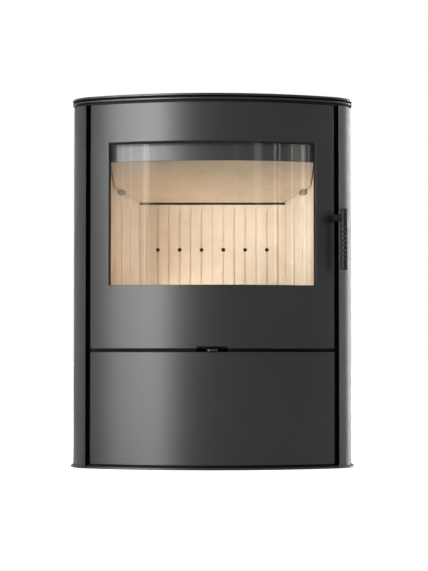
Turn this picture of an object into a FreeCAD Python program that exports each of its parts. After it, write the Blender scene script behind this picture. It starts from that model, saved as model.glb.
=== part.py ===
import FreeCAD, Part
import os
import re

import Sketcher

# Free-standing steel wood stove with a curved front, in millimetres.
# The origin is the middle of the base plate's underside: +Z is up and the front faces -Y.

Vector = FreeCAD.Vector
doc = FreeCAD.newDocument("WoodStove")
nodes = []

# Driving dimensions
sizes = {
    # Casing
    "overall_height": 800,
    "body_width": 606,
    "body_depth": 400,
    "front_radius": 600,
    "corner_radius": 70,
    "panel_sheet": 3,
    "plate_overhang": 3,
    "base_overhang": 5,
    "base_thick": 5,
    "base_gap": 4,
    "plinth_recess": 12,
    "top_upper": 5,
    "top_groove": 3.5,
    "groove_recess": 8,
    "top_lower": 4.5,
    "top_gap": 4.5,
    "support_recess": 5,
    "fit_gap": 0.3,
    # Doors
    "door_sheet": 4,
    "side_margin": 40.5,
    "strip_width": 10.5,
    "split_height": 253,
    "door_gap": 7,
    "door_clear": 0.5,
    "window_margin": 40.5,
    "window_drop": 84.5,
    "window_bottom": 392,
    "notch_width": 65,
    "notch_height": 4,
    "glass_thick": 4,
    "glass_lap": 10,
    "gasket_thick": 2,
    "glass_play": 1,
    "frame_depth": 10,
    "frame_margin": 16.5,
    "frame_border": 10,
    "relief_height": 80,
    "gasket_width": 9,
    "gasket_show": 2.5,
    "seal_size": 10,
    "seal_inset": 1,
    "seal_gap": 0.4,
    "clip_width": 80,
    "clip_height": 26,
    "clip_sheet": 2.5,
    "clip_lap": 6,
    "stiffener_width": 40,
    "stiffener_depth": 6,
    # Hinges
    "hinge_inset": 10.5,
    "hinge_setback": 5,
    "hinge_margin": 1,
    "pin_radius": 3,
    "pin_clearance": 0.05,
    "bush_wall": 1,
    "hinge_block_height": 32,
    "bracket_height": 7,
    "bracket_play": 0.5,
    "bracket_radius": 4.5,
    "bracket_width": 13,
    # Face frame and carcass
    "face_sheet": 6,
    "opening_margin": 32.5,
    "header_height": 123.5,
    "hearth_rail_bottom": 330,
    "hearth_rail_height": 48,
    "mid_rail_height": 50,
    "firebox_margin": 15.5,
    "shell_sheet": 4,
    "shell_drop": 13.5,
    "floor_height": 336,
    "rear_room": 100,
    "brick_thick": 25,
    "brick_drop": 182,
    "side_brick_drop": 79,
    "brick_joint": 0.5,
    "corner_width": 55,
    "corner_depth": 90,
    "groove_side": 17,
    "groove_width": 3,
    "groove_depth": 4,
    "groove_margin": 11,
    "corner_groove_drop": 20,
    "air_hole_radius": 4.75,
    "air_hole_rise": 8,
    # Baffle
    "baffle_thick": 20,
    "baffle_seat": 5,
    "baffle_setback": 55,
    "baffle_tilt": 17,
    "baffle_play": 3,
    "rest_start": 17,
    "rest_height": 8,
    "rest_width": 14,
    "rest_depth": 12,
    "ledge_start": 60,
    "ledge_width": 30,
    "ledge_reach": 40,
    "ledge_lap": 12,
    "ledge_rise": 8,
    "ledge_sheet": 3,
    # Hearth, ash and air
    "grate_width": 210,
    "grate_setback": 150,
    "grate_thick": 12,
    "grate_lap": 15,
    "grate_rim": 21,
    "grate_slot": 10,
    "grate_pitch": 22,
    "pan_width": 220,
    "pan_setback": 100,
    "pan_height": 46,
    "pan_sheet": 1.5,
    "pull_reach": 12,
    "pull_width": 73,
    "shelf_sheet": 3,
    "air_shelf_height": 150,
    "air_box_width": 264,
    "air_box_setback": 50,
    "air_box_depth": 170,
    "gate_sheet": 3.5,
    "air_slide_width": 180,
    "air_slide_depth": 80,
    "air_slide_sheet": 3,
    "air_travel": 20,
    "air_slot": 18,
    "air_slot_pitch": 44,
    "lever_width": 25,
    "lever_thick": 4.5,
    "lever_proud": 6,
    "guide_width": 12,
    # Pipes
    "flue_radius": 75.5,
    "flue_wall": 3,
    "flue_drop": 81,
    "flue_proud": 40,
    "inlet_radius": 40,
    "inlet_wall": 2,
    "inlet_height": 200,
    "inlet_proud": 25,
    "pipe_play": 0.5,
    # Handle
    "bar_radius": 8,
    "bar_bottom": 425,
    "bar_top": 556,
    "bar_setout": 19,
    "bar_stand": 38,
    "bar_rounding": 1.2,
    "grip_bottom": 446,
    "grip_top": 518,
    "core_radius": 5,
    "arm_height": 536.5,
    "arm_radius": 7.5,
    "arm_clear": 2,
    "neck_length": 23,
    "shaft_radius": 5,
    "shaft_setback": 7.5,
    "ear_thick": 4,
    "ear_height": 30,
    "ear_reach": 6.2,
    "ear_clear": 0.7,
    "cam_radius": 7.2,
    "keeper_sheet": 1.5,
    # Lower door catch and screws
    "catch_height": 128,
    "catch_size": 30,
    "strike_sheet": 1.5,
    "strike_gap": 0.2,
    "screw_radius": 2.5,
    "screw_head_radius": 4.5,
    "screw_head": 3,
    "screw_length": 6,
    "screw_play": 0.1,
    "flange_margin": 9,
    "vent_length": 90,
    "vent_height": 8,
    "vent_pitch": 18,
    "vent_drop": 218,
}

# How often a feature repeats
counts = {
    "grooves": 6,
    "air_holes": 3,
    "vents": 14,
    "grate_slots": 7,
    "air_slots": 4,
    "corner_grooves": 2,
}

# Places that follow from the driving dimensions
places = {
    "half_depth": "body_depth / 2",
    "half_width": "body_width / 2",
    "arc_y": "front_radius - half_depth",
    "door_inner": "front_radius - door_sheet",
    "frame_inner": "door_inner - frame_depth",
    "face_outer": "frame_inner - seal_size",
    "face_inner": "face_outer - face_sheet",
    "glass_outer": "door_inner - gasket_thick",
    "glass_inner": "glass_outer - glass_thick",
    "door_half": "half_width - side_margin",
    "strip_outer": "door_half + strip_width",
    "opening_half": "door_half - opening_margin",
    "plinth_top": "base_thick + base_gap",
    "upper_bottom": "overall_height - top_upper",
    "groove_bottom": "upper_bottom - top_groove",
    "lower_bottom": "groove_bottom - top_lower",
    "casing_top": "lower_bottom - top_gap",
    "split_low": "split_height - door_gap / 2",
    "split_high": "split_height + door_gap / 2",
    "header_bottom": "casing_top - header_height",
    "shell_top": "casing_top - shell_drop",
    "side_inner": "door_half - firebox_margin",
    "side_outer": "side_inner + shell_sheet",
    "lining_back": "half_depth - rear_room",
    "lining_reach": "half_depth + lining_back",
    "back_inner": "lining_back + brick_thick",
    "back_outer": "back_inner + shell_sheet",
    "lining_half": "side_inner - brick_thick",
    "back_half": "lining_half - corner_width",
    "groove_pitch": f"(back_half - groove_side) / {counts['grooves']}",
    "kink_y": "lining_back - corner_depth",
    "hearth_bottom": "floor_height + shell_sheet",
    "hearth_top": "hearth_bottom + brick_thick",
    "brick_top": "shell_top - brick_drop",
    "side_brick_top": "shell_top - side_brick_drop",
    "corner_slant": "lining_half - back_half - brick_joint",
    "corner_face": "corner_depth - brick_joint",
    "corner_run": "sqrt(corner_slant^2 + corner_face^2)",
    "air_hole_height": "(hearth_top + brick_top) / 2 + air_hole_rise",
    "baffle_rear_height": "brick_top + baffle_seat",
    "baffle_length": "lining_reach - baffle_setback",
    "baffle_rear": "lining_back - baffle_play",
    "baffle_corner": "(baffle_rear - kink_y) / cos(baffle_tilt) + baffle_thick * tan(baffle_tilt)",
    "grate_depth": "lining_reach - grate_setback",
    "window_top": "casing_top - window_drop",
    "window_half": "door_half - window_margin",
    "glass_half": "window_half + glass_lap",
    "glass_low": "window_bottom - glass_lap",
    "glass_high": "window_top + glass_lap",
    "frame_half": "door_half - frame_margin",
    "frame_low": "split_high + frame_border",
    "frame_high": "casing_top - frame_border",
    "seal_half": "frame_half - seal_inset",
    "lower_frame_low": "plinth_top + frame_border + bracket_height",
    "lower_frame_high": "split_low - frame_border - bracket_height",
    "hinge_x": "-(door_half - hinge_inset)",
    "hinge_radius": "door_inner - hinge_setback",
    "hinge_y": "arc_y - sqrt(hinge_radius^2 - hinge_x^2)",
    "block_half": "door_half - hinge_inset / 2",
    "block_inner": "hinge_radius - hinge_setback - hinge_margin",
    "bush_radius": "pin_radius + pin_clearance + bush_wall",
    "mid_rail_low": "split_height - mid_rail_height / 2",
    "mid_rail_high": "split_height + mid_rail_height / 2",
    "shelf_bottom": "mid_rail_high - shelf_sheet",
    "slide_bottom": "split_height - lever_thick / 2",
    "gate_top": "slide_bottom - fit_gap",
    "gate_bottom": "gate_top - gate_sheet",
    "air_box_front": "-(half_depth - air_box_setback)",
    "air_box_rear": "air_box_front + air_box_depth",
    "slide_front": "air_box_front + guide_width + fit_gap",
    "slide_rear": "slide_front + air_slide_depth",
    "relief_low": "frame_low + seal_size + 2 * seal_inset",
    "relief_high": "relief_low + relief_height",
    "pan_rear": "lining_back",
    "pan_depth": "lining_reach - pan_setback",
    "pan_front": "pan_rear - pan_depth",
    "pan_bottom": "mid_rail_high + fit_gap",
    "rear_outer": "half_depth - panel_sheet",
    "rear_inner": "rear_outer - panel_sheet",
    "flue_height": "shell_top - flue_drop",
    "vent_bottom": "flue_height - vent_drop",
    "door_top": "casing_top - door_clear",
    "door_bottom": "plinth_top + door_clear",
    "shaft_y": "arc_y - sqrt(door_inner^2 - door_half^2) + shaft_setback",
    "ear_start": "frame_half + ear_clear",
    "ear_end": "door_half - ear_clear",
    "cam_start": "ear_start + ear_thick + ear_clear",
    "cam_end": "ear_end - ear_thick - ear_clear",
    "arm_start": "door_half + arm_clear",
    "arm_end": "strip_outer - arm_clear",
    "catch_start": "frame_half + arm_clear",
    "catch_end": "door_half - arm_clear",
    "screw_x": "strip_outer + flange_margin",
    "bar_x": "door_half + bar_setout",
    "bar_y": "shaft_y - bar_stand",
}

sheet = doc.addObject("Spreadsheet::Sheet", "Sizes")
for row, (name, size) in enumerate(sizes.items(), start=1):
    sheet.set(f"A{row}", name)
    sheet.set(f"B{row}", str(size))
    sheet.setAlias(f"B{row}", name)
doc.recompute()


def spell(text, known):
    """Write out the named places in a formula until only driving sizes are left."""
    def swap(found):
        word = found.group(0)
        if word in places:
            return "(" + spell(places[word], known) + ")"
        return known(word) if word in sizes else word
    return re.sub(r"[a-z][a-z_]+", swap, str(text))


def formula(text):
    return spell(text, lambda word: f"Sizes.{word}")


def number(text):
    return FreeCAD.Units.parseQuantity(spell(text, lambda word: str(sheet.get(word)))).Value


def minus(text):
    return f"-({text})"


def box(name, x, y, z):
    """A block between two limits on each axis."""
    solid = doc.addObject("Part::Box", name)
    for axis, side, (low, high) in zip("xyz", ("Length", "Width", "Height"), (x, y, z)):
        solid.setExpression(side, formula(f"({high}) - ({low})"))
        solid.setExpression(f"Placement.Base.{axis}", formula(low))
    return solid


def cylinder(name, radius, length, at, along="z"):
    """A round bar that starts at a point and runs along +X, +Y or +Z."""
    turns = {"x": (Vector(0, 1, 0), 90), "y": (Vector(-1, 0, 0), 90), "z": (Vector(0, 0, 1), 0)}
    solid = doc.addObject("Part::Cylinder", name)
    solid.Placement = FreeCAD.Placement(Vector(), FreeCAD.Rotation(*turns[along]))
    solid.setExpression("Radius", formula(radius))
    solid.setExpression("Height", formula(length))
    for axis, place in zip("xyz", at):
        solid.setExpression(f"Placement.Base.{axis}", formula(place))
    return solid


def cut(name, base, tool):
    solid = doc.addObject("Part::Cut", name)
    solid.Base = base
    solid.Tool = tool
    return solid


def common(name, first, second):
    solid = doc.addObject("Part::Common", name)
    solid.Base = first
    solid.Tool = second
    return solid


def fuse(name, *pieces):
    solid = doc.addObject("Part::MultiFuse", name)
    solid.Shapes = list(pieces)
    solid.Refine = True
    return solid


def group(name, *pieces):
    """Separate solids that share one node, such as a set of screws."""
    solids = doc.addObject("Part::Compound", name)
    solids.Links = list(pieces)
    return solids


def mirrored(name, source):
    solid = doc.addObject("Part::Mirroring", name)
    solid.Source = source
    solid.Normal = Vector(1, 0, 0)
    return solid


def node(name, solid):
    """Name a finished sub-part, which is also its file's name."""
    solid.Label = name
    nodes.append(solid)
    return solid


def drum(name, radius, z):
    """A full round block about the axis of the curved front."""
    low, high = z
    return cylinder(name, radius, f"({high}) - ({low})", ("0", "arc_y", low))


def shell(name, outer, inner, x, z):
    """A curved plate that follows the front between two radii, cut square at its sides."""
    ring = cut(name + "_ring", drum(name + "_outer", outer, z), drum(name + "_inner", inner, z))
    return common(name + "_plate", ring, box(name + "_limits", x, (minus("half_depth"), "arc_y"), z))


def window(name, x, z):
    """A square hole through the curved front, from before it to behind it."""
    return box(name, x, (minus("body_depth"), "0"), z)


def even(half):
    return (minus(half), half)


def behind_face(name, x, y, z):
    """A flat plate whose front edge follows the back of the face frame."""
    blank = box(name + "_blank", x, y, z)
    return common(name + "_plate", blank, drum(name + "_front", "face_inner", z))


def new_body(name):
    return doc.addObject("PartDesign::Body", name)


def origin(body, role):
    return next(item for item in body.Origin.OriginFeatures if item.Role == role)


def place(body, **spots):
    for axis, text in spots.items():
        body.setExpression(f"Placement.Base.{axis}", formula(text))


def new_sketch(body, name, plane):
    sketch = body.newObject("Sketcher::SketchObject", name)
    sketch.AttachmentSupport = [(origin(body, plane), "")]
    sketch.MapMode = "FlatFace"
    return sketch


def bind(sketch, kind, *spot, text):
    """Add a dimension to a sketch and tie it to a formula."""
    index = sketch.addConstraint(Sketcher.Constraint(kind, *spot, number(text)))
    sketch.setExpression(f"Constraints[{index}]", formula(text))


def pin_point(sketch, line, end, x, y):
    """Hold a sketch point at two formulas; a zero lies on the sketch's own axis."""
    for kind, axis, text in (("DistanceX", -2, x), ("DistanceY", -1, y)):
        if text == "0":
            sketch.addConstraint(Sketcher.Constraint("PointOnObject", line, end, axis))
        else:
            bind(sketch, kind, -1, 1, line, end, text=text)


def polygon(body, name, plane, points):
    """A closed outline of straight lines through the given points."""
    sketch = new_sketch(body, name, plane)
    spots = [Vector(number(x), number(y), 0) for x, y in points]
    count = len(points)
    for index in range(count):
        sketch.addGeometry(Part.LineSegment(spots[index], spots[(index + 1) % count]))
    for index in range(count):
        sketch.addConstraint(Sketcher.Constraint("Coincident", index, 2, (index + 1) % count, 1))
    for index, (x, y) in enumerate(points):
        pin_point(sketch, index, 1, x, y)
    return sketch


def rectangle(body, name, plane, x, y):
    (left, right), (low, high) = x, y
    return polygon(body, name, plane, [(left, low), (right, low), (right, high), (left, high)])


def circle(body, name, plane, x, y, radius):
    sketch = new_sketch(body, name, plane)
    sketch.addGeometry(Part.Circle(Vector(number(x), number(y), 0), Vector(0, 0, 1), number(radius)))
    pin_point(sketch, 0, 3, x, y)
    bind(sketch, "Radius", 0, text=radius)
    return sketch


def pad(body, sketch, length, backward=False):
    feature = body.newObject("PartDesign::Pad", sketch.Name + "_pad")
    feature.Profile = sketch
    feature.Reversed = backward
    feature.setExpression("Length", formula(length))
    doc.recompute()
    return feature


def pocket(body, sketch, depth, upward=False):
    """Cut a sketch into its body, and make sure that it does cut."""
    before = body.Shape.Volume
    feature = body.newObject("PartDesign::Pocket", sketch.Name + "_pocket")
    feature.Profile = sketch
    feature.Reversed = upward
    feature.setExpression("Length", formula(depth))
    doc.recompute()
    if feature.Shape.Volume >= before:
        raise RuntimeError(f"{feature.Name} removes nothing")
    return feature


def repeat(body, feature, axis, pitch, count):
    pattern = body.newObject("PartDesign::LinearPattern", feature.Name + "_row")
    pattern.Originals = [feature]
    pattern.Direction = (origin(body, axis), [""])
    pattern.Mode = "Spacing"
    pattern.setExpression("Offset", formula(pitch))
    pattern.Occurrences = count
    body.Tip = pattern
    doc.recompute()
    return pattern


def outline(body, name, grow):
    """The stove's plan: a wide front arc, round front corners and straight sides and rear."""
    big, small = f"front_radius + {grow}", f"corner_radius + {grow}"
    half, rear = f"half_width + {grow}", f"half_depth + {grow}"
    wide, tight, side, back = number(big), number(small), number(half), number(rear)
    middle = Vector(0, number("arc_y"), 0)
    inset = side - tight
    centre = Vector(inset, middle.y - ((wide - tight) ** 2 - inset ** 2) ** 0.5, 0)
    touch = middle + (centre - middle) * (wide / (wide - tight))
    bend = Vector(side, centre.y, 0)

    def other(point):
        return Vector(-point.x, point.y, 0)

    def arc(about, first, last):
        low, high = ((point - about).getAngle(Vector(1, 0, 0)) for point in (first, last))
        round_arc = Part.Circle(about, Vector(0, 0, 1), (first - about).Length)
        return Part.ArcOfCircle(round_arc, -low, -high)

    corner = Vector(side, back, 0)
    sketch = new_sketch(body, name, "XY_Plane")
    sketch.addGeometry(arc(middle, other(touch), touch))
    sketch.addGeometry(arc(centre, touch, bend))
    sketch.addGeometry(Part.LineSegment(bend, corner))
    sketch.addGeometry(Part.LineSegment(corner, other(corner)))
    sketch.addGeometry(Part.LineSegment(other(corner), other(bend)))
    sketch.addGeometry(arc(other(centre), other(bend), other(touch)))
    for first, last in ((0, 1), (1, 2), (4, 5), (5, 0)):
        sketch.addConstraint(Sketcher.Constraint("Tangent", first, 2, last, 1))
    for first, last in ((2, 3), (3, 4)):
        sketch.addConstraint(Sketcher.Constraint("Coincident", first, 2, last, 1))
    for line in (2, 4):
        sketch.addConstraint(Sketcher.Constraint("Vertical", line))
    sketch.addConstraint(Sketcher.Constraint("PointOnObject", 0, 3, -2))
    sketch.addConstraint(Sketcher.Constraint("Equal", 1, 5))
    sketch.addConstraint(Sketcher.Constraint("Symmetric", 2, 2, 4, 1, -2))
    bind(sketch, "Radius", 0, text=big)
    bind(sketch, "Radius", 1, text=small)
    bind(sketch, "DistanceX", 4, 1, 2, 2, text=f"2 * ({half})")
    bind(sketch, "DistanceY", -1, 1, 2, 2, text=rear)
    bind(sketch, "DistanceY", -1, 1, 0, 3, text="arc_y")
    return sketch


def plan_plate(name, grow, low, high):
    """A plate of the stove's plan, grown or shrunk all round, between two heights."""
    body = new_body(name)
    pad(body, outline(body, name + "_outline", grow), f"({high}) - ({low})")
    place(body, z=low)
    return body


def casing():
    """Base, plinth, side panels, rear panel and top plates."""
    node("base_plate", plan_plate("base_plate", "base_overhang", "0", "base_thick"))
    plinth_z = ("base_thick", "plinth_top")
    plinth = plan_plate("plinth_blank", "(-plinth_recess)", *plinth_z)
    between = box("plinth_between", even("strip_outer - fit_gap"), even("body_depth"), plinth_z)
    node("plinth", common("plinth_plate", plinth, between))
    node("top_support", plan_plate("top_support", "(-support_recess)", "casing_top", "lower_bottom"))
    node("top_plate_lower", plan_plate("top_plate_lower", "plate_overhang", "lower_bottom", "groove_bottom"))
    node("top_spacer", plan_plate("top_spacer", "(-groove_recess)", "groove_bottom", "upper_bottom"))
    node("top_plate_upper", plan_plate("top_plate_upper", "plate_overhang", "upper_bottom", "overall_height"))
    side_panels()
    rear_panel()


def side_panels():
    """Sheet that runs from a rear flange round the front corner to a lip beside the door."""
    height = ("base_thick", "casing_top")
    outside = plan_plate("panel_outside", "0", *height)
    inside = plan_plate("panel_inside", "(-panel_sheet)", *height)
    wall = cut("panel_wall", outside, inside)
    keep = box("panel_side", ("strip_outer", "body_width"), even("body_depth"), height)
    lip_side = ("strip_outer", "strip_outer + panel_sheet")
    lip = shell("panel_lip", "front_radius - panel_sheet", "face_inner", lip_side, height)
    blank = fuse("panel_blank", common("panel_bend", wall, keep), lip)
    right = cut("panel_right", blank, rear_screw_holes("panel_holes", 1))
    node("side_panel_right", right)
    node("side_panel_left", mirrored("panel_left", right))


def rear_screw_heights():
    """Four screws up each side, evenly spread over the casing's height."""
    rise = "(casing_top - plinth_top)"
    return [f"plinth_top + {rise} * {share} / 8" for share in (1, 3, 5, 7)]


def rear_screw_holes(name, side):
    radius = "screw_radius + screw_play"
    holes = []
    for index, height in enumerate(rear_screw_heights()):
        at = (f"{side} * screw_x", "rear_inner", height)
        holes.append(cylinder(f"{name}_{index}", radius, "2 * panel_sheet", at, "y"))
    return fuse(name, *holes)


def rear_panel():
    """Slotted sheet behind the rear flanges, with holes for the flue and the air pipe."""
    body = new_body("rear_sheet")
    reach = "screw_x + flange_margin"
    sheet_outline = rectangle(body, "rear_outline", "XZ_Plane", even(reach), ("plinth_top", "casing_top"))
    pad(body, sheet_outline, "panel_sheet", backward=True)
    for name, height, radius in (
        ("rear_flue_hole", "flue_height", "flue_radius + flue_wall + pipe_play"),
        ("rear_inlet_hole", "inlet_height", "inlet_radius + inlet_wall + pipe_play"),
    ):
        pocket(body, circle(body, name, "XZ_Plane", "0", height, radius), "panel_sheet")
    slots = ("vent_bottom", "vent_bottom + vent_height")
    for name, side in (("rear_slot_right", 1), ("rear_slot_left", -1)):
        middle = f"{side} * (flue_radius + flue_wall + vent_length)"
        across = (f"{middle} - vent_length / 2", f"{middle} + vent_length / 2")
        slot = pocket(body, rectangle(body, name, "XZ_Plane", across, slots), "panel_sheet")
        repeat(body, slot, "Z_Axis", "vent_pitch", counts["vents"])
    place(body, y="rear_inner")
    right = cut("rear_right_holed", body, rear_screw_holes("rear_right_holes", 1))
    node("rear_panel", cut("rear_holed", right, rear_screw_holes("rear_left_holes", -1)))
    screws = []
    for side in (1, -1):
        for index, height in enumerate(rear_screw_heights()):
            name = f"rear_screw_{'left' if side < 0 else 'right'}_{index}"
            at = f"{side} * screw_x"
            screws.append(screw(name, at, "half_depth", height, "-screw_length", "screw_head"))
    node("rear_screws", group("rear_screw_set", *screws))


def screw(name, x, seat, z, shank, head):
    """A screw along Y: its head stands on the seat and its shank runs the other way."""
    def bar(part, radius, length):
        low = f"{seat} + {length}" if length.startswith("-") else seat
        return cylinder(f"{name}_{part}", radius, length.lstrip("-"), (x, low, z), "y")
    return fuse(name, bar("shank", "screw_radius", shank), bar("head", "screw_head_radius", head))


def face_frame():
    """Curved jambs and rails that the doors close against."""
    height = ("plinth_top", "casing_top")
    right = shell("jamb", "face_outer", "face_inner", ("opening_half", "strip_outer"), height)
    node("jamb_right", right)
    node("jamb_left", mirrored("jamb_mirror", right))
    span = even("opening_half")
    header = shell("header", "face_outer", "face_inner", span, ("header_bottom", "casing_top"))
    node("header", header)
    rail_top = "hearth_rail_bottom + hearth_rail_height"
    node("hearth_rail", shell("hearth", "face_outer", "face_inner", span, ("hearth_rail_bottom", rail_top)))
    rail = shell("mid", "face_outer", "face_inner", span, ("mid_rail_low", "mid_rail_high"))
    slot = window("lever_slot", even("lever_width / 2 + air_travel + arm_clear"), ("split_low", "split_high"))
    node("mid_rail", cut("mid_slotted", rail, slot))


def carcass():
    """Plates of the inner box: sides, back, firebox floor and top, and shelves."""
    deep = (minus("half_depth"), "back_inner")
    tall = ("plinth_top", "shell_top")
    right = behind_face("carcass_side", ("side_inner", "side_outer"), deep, tall)
    node("carcass_side_right", right)
    node("carcass_side_left", mirrored("carcass_mirror", right))
    back = box("carcass_blank", even("side_outer"), ("back_inner", "back_outer"), tall)
    for name, height, radius in (
        ("back_flue", "flue_height", "flue_radius - flue_wall"),
        ("back_inlet", "inlet_height", "inlet_radius + inlet_wall + pipe_play"),
    ):
        hole = cylinder(name + "_hole", radius, "shell_sheet", ("0", "back_inner", height), "y")
        back = cut(name + "_cut", back, hole)
    node("carcass_back", back)
    inside = even("side_inner")
    floor = behind_face("firebox_floor", inside, deep, ("floor_height", "hearth_bottom"))
    mouth = "grate_width / 2 - grate_lap"
    depth = even("grate_depth / 2 - grate_lap")
    hole = box("floor_hole", even(mouth), depth, ("0", "shell_top"))
    node("firebox_floor", cut("floor_holed", floor, hole))
    node("firebox_top", behind_face("firebox_roof", inside, deep, ("shell_top - shell_sheet", "shell_top")))
    node("ash_shelf", behind_face("ash_plate", inside, deep, ("shelf_bottom", "mid_rail_high")))
    shelf = ("air_shelf_height", "air_shelf_height + shelf_sheet")
    node("air_shelf", behind_face("air_plate", inside, deep, shelf))


def lining():
    """Fire bricks: two grooved back halves, angled corners, sides and the hearth."""
    tall = ("hearth_top", "brick_top")
    right = back_brick("back_brick", tall)
    node("back_brick_right", right)
    node("back_brick_left", mirrored("back_brick_mirror", right))
    corner = corner_brick("corner_brick")
    node("corner_bricks", group("corner_brick_pair", corner, mirrored("corner_brick_mirror", corner)))
    deep = (minus("half_depth"), "kink_y")
    side = behind_face("side_brick", ("lining_half", "side_inner"), deep, ("hearth_top", "side_brick_top"))
    node("side_bricks", group("side_brick_pair", side, mirrored("side_brick_mirror", side)))
    hearth()


def back_brick(name, tall):
    body = new_body(name)
    low, high = tall
    face = rectangle(body, name + "_face", "XZ_Plane", ("brick_joint / 2", "back_half"), tall)
    pad(body, face, "brick_thick", backward=True)
    half = "groove_width / 2"
    across = (f"groove_pitch - {half}", f"groove_pitch + {half}")
    line = rectangle(body, name + "_line", "XZ_Plane", across, (low, f"{high} - groove_margin"))
    repeat(body, pocket(body, line, "groove_depth"), "X_Axis", "groove_pitch", counts["grooves"])
    hole = circle(body, name + "_hole", "XZ_Plane", "groove_pitch", "air_hole_height", "air_hole_radius")
    repeat(body, pocket(body, hole, "brick_thick"), "X_Axis", "2 * groove_pitch", counts["air_holes"])
    place(body, y="lining_back")
    return body


def corner_brick(name):
    """A grooved slab set at an angle between the side and the back, with flat ends against both."""
    body = new_body(name)
    slant = "(lining_half - back_half)"
    points = [
        ("lining_half", "kink_y + brick_joint"),
        ("back_half + brick_joint", "lining_back"),
        ("back_half + brick_joint", "back_inner"),
        (f"side_inner - {slant}", "back_inner"),
        ("side_inner", "kink_y + brick_thick"),
        ("side_inner", "kink_y + brick_joint"),
    ]
    pad(body, polygon(body, name + "_plan", "XY_Plane", points), "side_brick_top - hearth_top")
    place(body, z="hearth_top")
    grooves = []
    for index in range(1, counts["corner_grooves"] + 1):
        along = f"corner_run * {index} / {counts['corner_grooves'] + 1}"
        forward = f"(baffle_rear - ({corner_spot(along, '0')[1]}))"
        top = f"baffle_rear_height + {forward} * tan(baffle_tilt) - corner_groove_drop"
        start = f"{along} - groove_width / 2"
        deep, tall = ("-groove_depth", "groove_depth"), ("hearth_top", top)
        grooves.append(corner_block(f"{name}_line_{index}", start, "groove_width", deep, tall))
    return cut(name + "_grooved", body, fuse(name + "_lines", *grooves))


def corner_spot(along, inward):
    """A point beside the angled brick's face: along it from the side brick, and in from it."""
    x = f"lining_half - ({along}) * corner_slant / corner_run - ({inward}) * corner_face / corner_run"
    y = f"({along}) * corner_face / corner_run - ({inward}) * corner_slant / corner_run"
    return x, f"kink_y + brick_joint + {y}"


def corner_block(name, start, wide, inward, tall):
    """An upright block that stands along the angled brick's face."""
    body = new_body(name)
    end = f"{start} + {wide}"
    near, far = inward
    corners = ((start, near), (end, near), (end, far), (start, far))
    points = [corner_spot(along, side) for along, side in corners]
    low, high = tall
    pad(body, polygon(body, name + "_plan", "XY_Plane", points), f"({high}) - ({low})")
    place(body, z=low)
    return body


def hearth():
    """Floor bricks round a slotted cast grate."""
    tall = ("hearth_bottom", "hearth_top")
    rim = "grate_width / 2 + brick_joint"
    front, rear = "-(grate_depth / 2 + brick_joint)", "grate_depth / 2 + brick_joint"
    inside = even("side_inner")
    fore = behind_face("hearth_front", inside, (minus("half_depth"), front), tall)
    aft = box("hearth_back", inside, (rear, "back_inner"), tall)
    depth = (f"{front} + brick_joint / 2", f"{rear} - brick_joint / 2")
    right = box("hearth_side", (rim, "side_inner"), depth, tall)
    node("hearth_bricks", group("hearth_brick_set", fore, aft, right, mirrored("hearth_mirror", right)))
    body = new_body("grate_casting")
    plate = rectangle(body, "grate_plate", "XY_Plane", even("grate_width / 2"), even("grate_depth / 2"))
    pad(body, plate, "grate_thick")
    first = f"grate_pitch * {(counts['grate_slots'] - 1) / 2}"
    across = (f"-({first}) - grate_slot / 2", f"-({first}) + grate_slot / 2")
    slot = rectangle(body, "grate_slot", "XY_Plane", across, even("grate_depth / 2 - grate_rim"))
    slots = pocket(body, slot, "grate_thick", upward=True)
    repeat(body, slots, "X_Axis", "grate_pitch", counts["grate_slots"])
    place(body, z="hearth_bottom")
    node("grate", body)


def baffle():
    """Sloped plate above the hearth, on two rests on the corner bricks and two ledges behind the header."""
    body = new_body("baffle_slab")
    rear, wide = "back_half - baffle_play", "lining_half - baffle_play"
    points = [
        (minus(rear), "0"),
        (minus(wide), "-baffle_corner"),
        (minus(wide), "-baffle_length"),
        (wide, "-baffle_length"),
        (wide, "-baffle_corner"),
        (rear, "0"),
    ]
    pad(body, polygon(body, "baffle_plan", "XY_Plane", points), "baffle_thick")
    tilt(body, "0", "0", "0")
    tall = ("hearth_top", "shell_top")
    slab = common("baffle_trimmed", body, drum("baffle_limit", "face_inner - baffle_play", tall))
    front, lap = "baffle_length + ledge_reach", "ledge_reach + ledge_lap"
    across = ("ledge_start - baffle_play", "ledge_width + 2 * baffle_play")
    room = ("fit_gap - ledge_rise", "ledge_sheet + 2 * fit_gap")
    notch = sloped_box("baffle_notch", across, (front, f"{lap} + baffle_play"), room)
    notches = fuse("baffle_notches", notch, mirrored("baffle_notch_mirror", notch))
    node("baffle", cut("baffle_notched", slab, notches))
    across = ("ledge_start", "ledge_width")
    bar = sloped_box("baffle_ledge_bar", across, (front, lap), ("-ledge_rise", "ledge_sheet"))
    ledge = common("baffle_ledge", bar, drum("baffle_ledge_limit", "face_inner - fit_gap", tall))
    post = corner_block("baffle_post", "rest_start", "rest_width", ("0", "rest_depth"), tall)
    layer_y = ("baffle_length", "baffle_length")
    layer = sloped_box("baffle_layer", ("0", "side_inner"), layer_y, ("rest_height + fit_gap", "rest_height"))
    rest = common("baffle_rest", post, layer)
    others = [mirrored(piece.Name + "_mirror", piece) for piece in (rest, ledge)]
    node("baffle_rests", group("baffle_rest_set", rest, ledge, *others))


def sloped_box(name, across, along, under):
    """A block laid in the baffle's slope: start and size across it, along it and below its underside."""
    solid = doc.addObject("Part::Box", name)
    for side, (_, size) in zip(("Length", "Width", "Height"), (across, along, under)):
        solid.setExpression(side, formula(size))
    tilt(solid, across[0], along[0], under[0])
    return solid


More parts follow.
